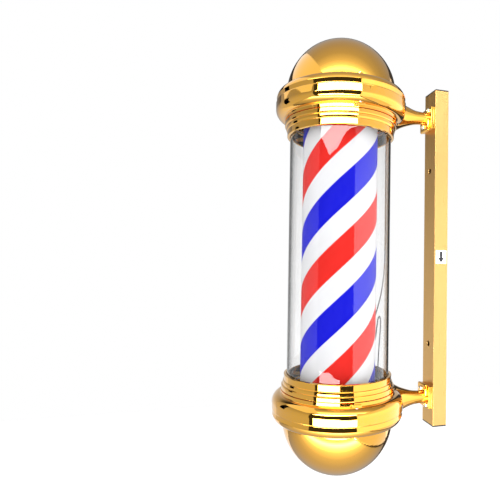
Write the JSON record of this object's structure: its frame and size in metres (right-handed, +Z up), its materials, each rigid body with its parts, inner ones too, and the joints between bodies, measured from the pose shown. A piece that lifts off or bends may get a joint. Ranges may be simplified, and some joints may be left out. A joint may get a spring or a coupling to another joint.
{
  "type": "barber pole light",
  "caption": "Wall-mounted barber pole light: a striped drum turns inside a clear tube between two gold-plated domed end caps, carried on two arms from a rectangular wall rail.",
  "frame": {"origin": "centre of the wall rail's back face, in the wall plane and at the pole's mid height", "axes": "+Z up, along the pole; +Y out of the rail's back face, into the wall; the front looks along -Y; the label is on the +X side"},
  "size_m": [0.212, 0.295, 0.7],
  "materials": {
    "plated_caps": "mirror gold plating on moulded plastic",
    "plated_metal": "mirror gold plating on cast metal",
    "rail_metal": "satin gold anodised",
    "bright_screws": "bright plated steel",
    "zinc_steel": "zinc plated",
    "black_plastic": "black moulded plastic",
    "white_plastic": "white moulded plastic",
    "drum_film": "translucent white drum with printed red, white and blue stripes",
    "clear_tube": "clear acrylic tube",
    "lamp_base": "threaded lamp cap and heat sink",
    "soft_rubber": "grey rubber",
    "label": "white sticker",
    "leads": "dark flexible insulation"
  },
  "bodies": {
    "housing": {"arrow_label": "label", "bottom_band": "plated_caps", "bottom_collar": "plated_caps", "bottom_dome": "plated_caps", "bottom_dome_screw_1": "bright_screws", "bottom_dome_screw_2": "bright_screws", "bottom_gasket": "soft_rubber", "bottom_side_screw_1": "bright_screws", "bottom_side_screw_2": "bright_screws", "bulb_base": "lamp_base", "bulb_diffuser": "white_plastic", "cable_grommet": "soft_rubber", "clear_tube": "clear_tube", "guide_bush": "soft_rubber", "lamp_bracket": "zinc_steel", "lamp_holder": "white_plastic", "lamp_lead": "leads", "lamp_nipple": "zinc_steel", "lower_arm": "plated_metal", "lower_arm_bolt": "zinc_steel", "lower_base_plate": "plated_metal", "lower_flange_screw_1": "bright_screws", "lower_flange_screw_2": "bright_screws", "motor_bracket": "zinc_steel", "motor_can": "zinc_steel", "motor_cover": "zinc_steel", "motor_lead": "leads", "motor_screw_1": "zinc_steel", "motor_screw_2": "zinc_steel", "nipple_nut": "zinc_steel", "rail_plug_bottom": "black_plastic", "rail_plug_top": "black_plastic", "terminal_block": "white_plastic", "top_band": "plated_caps", "top_collar": "plated_caps", "top_dome": "plated_caps", "top_dome_screw_1": "bright_screws", "top_dome_screw_2": "bright_screws", "top_gasket": "soft_rubber", "top_side_screw_1": "bright_screws", "top_side_screw_2": "bright_screws", "upper_arm": "plated_metal", "upper_arm_bolt": "zinc_steel", "upper_base_plate": "plated_metal", "upper_flange_screw_1": "bright_screws", "upper_flange_screw_2": "bright_screws", "wall_rail": "rail_metal"},
    "drum": {"drum_shell": "drum_film", "drum_hub": "white_plastic", "hub_set_screw": "zinc_steel", "output_shaft": "zinc_steel", "drum_top_ring": "white_plastic"}
  },
  "joints": [
    {"name": "drum_spin", "type": "hinge", "parent": "housing", "child": "drum", "pos_m": [0, -0.189, 0], "axis": [0, 0, 1], "continuous": true}
  ]
}
